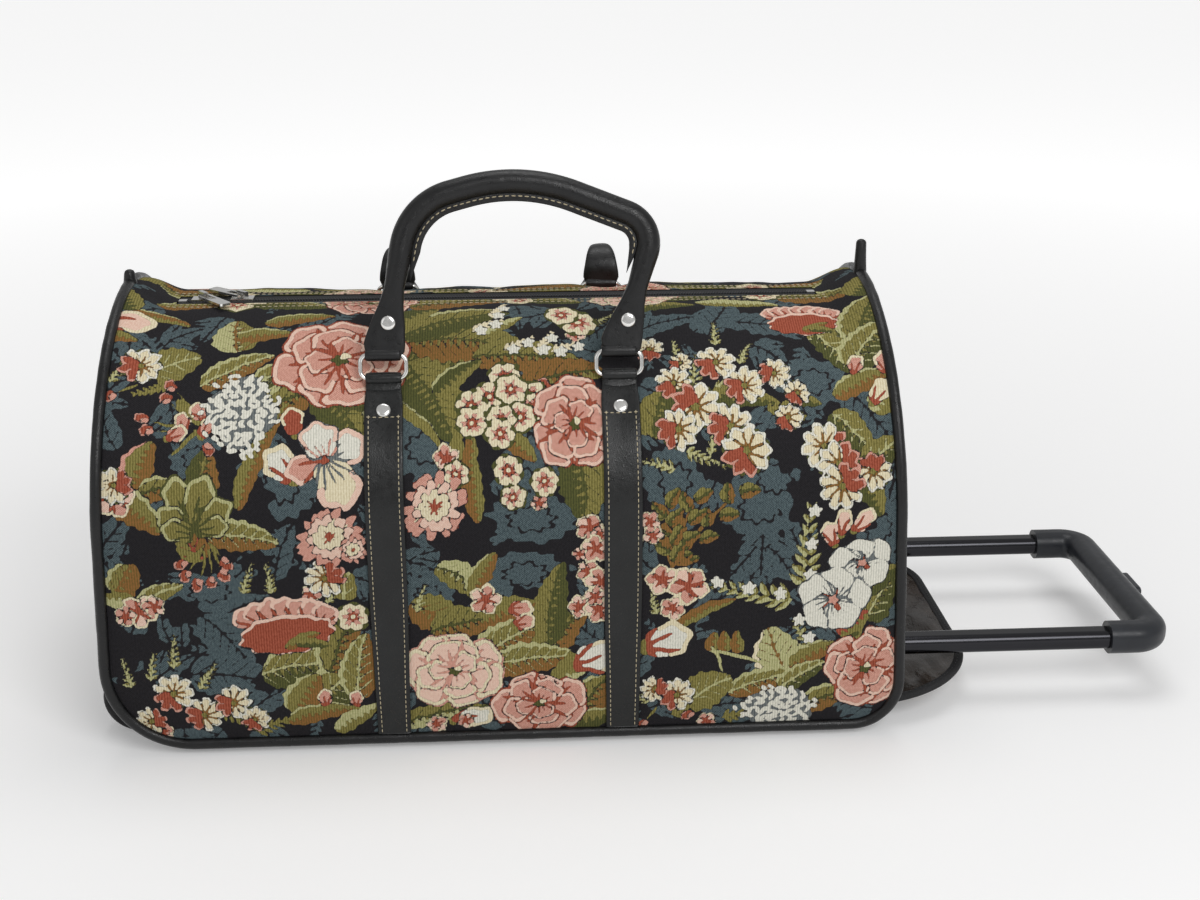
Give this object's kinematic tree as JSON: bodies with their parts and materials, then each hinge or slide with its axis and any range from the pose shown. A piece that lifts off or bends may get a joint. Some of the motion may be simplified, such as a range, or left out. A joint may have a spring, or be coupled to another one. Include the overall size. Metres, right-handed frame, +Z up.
{
  "type": "wheeled carpet bag",
  "caption": "Soft travel bag in floral tapestry with black leather trim, a zipped round top, carry handles on rings, corner wheels and a pull handle that slides out of one end.",
  "frame": {"origin": "on the floor under the middle of the whole outline, with the pull handle out as pictured", "axes": "+X along the bag towards the pull handle, +Y from the front to the back, +Z up"},
  "size_m": [0.788, 0.3104, 0.3946],
  "materials": {
    "tapestry": "woven floral tapestry",
    "black_leather": "smooth black leather",
    "black_tape": "woven black tape",
    "base_vinyl": "black coated cloth",
    "zip_coil": "black coil",
    "bright_metal": "nickel plated",
    "sleeve_metal": "plain drawn tube",
    "tube_metal": "dark grey anodised look",
    "grip_plastic": "fine matt grain",
    "flap_vinyl": "glossy dark brown coated cloth",
    "steel": "zinc plated",
    "tyre_rubber": "matt rubber",
    "lining": "black lining cloth over board",
    "black_plastic": "moulded, fine grain"
  },
  "bodies": {
    "bag": {"front_panel": "tapestry", "back_panel": "tapestry", "left_end_panel": "tapestry", "right_end_panel": "tapestry", "base_panel": "base_vinyl", "front_piping": "black_leather", "back_piping": "black_leather", "piping_tails": "black_leather", "front_tape": "black_tape", "back_tape": "black_tape", "zip_chain": "zip_coil", "zip_stops": "bright_metal", "front_left_strap": "black_leather", "front_right_strap": "black_leather", "back_left_strap": "black_leather", "back_right_strap": "black_leather", "front_strap_rivets": "bright_metal", "back_strap_rivets": "bright_metal", "front_sleeve": "sleeve_metal", "back_sleeve": "sleeve_metal", "mouth_bushes": "black_plastic", "clamp_bar": "black_plastic", "handle_well": "black_plastic", "handle_flap": "flap_vinyl", "flap_binding": "black_tape", "base_board": "black_plastic", "floor_board": "lining", "front_housing": "black_plastic", "back_housing": "black_plastic", "front_axle": "steel", "back_axle": "steel", "feet": "black_plastic", "foot_screws": "steel"},
    "pull_handle": {"front_tube": "tube_metal", "back_tube": "tube_metal", "tube_plugs": "black_plastic", "grip": "grip_plastic"},
    "grip_button": {"push_button": "grip_plastic"},
    "front_wheel": {"front_hub": "black_plastic", "front_tyre": "tyre_rubber"},
    "back_wheel": {"back_hub": "black_plastic", "back_tyre": "tyre_rubber"},
    "front_ring_pair": {"front_rings": "bright_metal"},
    "front_carry_handle": {"front_handle": "black_leather", "front_handle_rivets": "bright_metal"},
    "back_ring_pair": {"back_rings": "bright_metal"},
    "back_carry_handle": {"back_handle": "black_leather", "back_handle_rivets": "bright_metal"},
    "left_zip_slider": {"left_slider": "bright_metal"},
    "left_zip_pull": {"left_pull": "bright_metal"},
    "right_zip_slider": {"right_slider": "bright_metal"},
    "right_zip_pull": {"right_pull": "bright_metal"}
  },
  "joints": [
    {"name": "handle_slide", "type": "slide", "parent": "bag", "child": "pull_handle", "axis": [1, 0, 0], "range_m": [-0.226, 0.13]},
    {"name": "button_press", "type": "slide", "parent": "pull_handle", "child": "grip_button", "axis": [-1, 0, 0], "range_m": [0, 0.0035], "stiffness_N_per_m": 900, "springref_m": -0.002},
    {"name": "front_wheel_spin", "type": "hinge", "parent": "bag", "child": "front_wheel", "pos_m": [-0.368, -0.10725, 0.026], "axis": [0, 1, 0], "continuous": true},
    {"name": "back_wheel_spin", "type": "hinge", "parent": "bag", "child": "back_wheel", "pos_m": [-0.368, 0.09275, 0.026], "axis": [0, 1, 0], "continuous": true},
    {"name": "front_ring_swing", "type": "hinge", "parent": "bag", "child": "front_ring_pair", "pos_m": [-0.106, -0.10888, 0.25863], "axis": [1, 0, 0], "range_deg": [0, 60]},
    {"name": "front_handle_swing", "type": "hinge", "parent": "front_ring_pair", "child": "front_carry_handle", "pos_m": [-0.106, -0.10474, 0.27408], "axis": [1, 0, 0], "range_deg": [0, 90]},
    {"name": "back_ring_swing", "type": "hinge", "parent": "bag", "child": "back_ring_pair", "pos_m": [-0.106, 0.09438, 0.25863], "axis": [-1, 0, 0], "range_deg": [-10, 0]},
    {"name": "back_handle_swing", "type": "hinge", "parent": "back_ring_pair", "child": "back_carry_handle", "pos_m": [-0.106, 0.09024, 0.27408], "axis": [1, 0, 0], "range_deg": [0, 70]},
    {"name": "left_slider_slide", "type": "slide", "parent": "bag", "child": "left_zip_slider", "axis": [1, 0, 0], "range_m": [0, 0.008]},
    {"name": "left_pull_swing", "type": "hinge", "parent": "left_zip_slider", "child": "left_zip_pull", "pos_m": [-0.32, -0.00725, 0.29265], "axis": [-0.7986, -0.6018, 0], "range_deg": [0, 150]},
    {"name": "right_slider_slide", "type": "slide", "parent": "bag", "child": "right_zip_slider", "axis": [1, 0, 0], "range_m": [0, 0.39]},
    {"name": "right_pull_swing", "type": "hinge", "parent": "right_zip_slider", "child": "right_zip_pull", "pos_m": [-0.292, -0.00725, 0.29265], "axis": [0.6561, 0.7547, 0], "range_deg": [0, 150]}
  ]
}
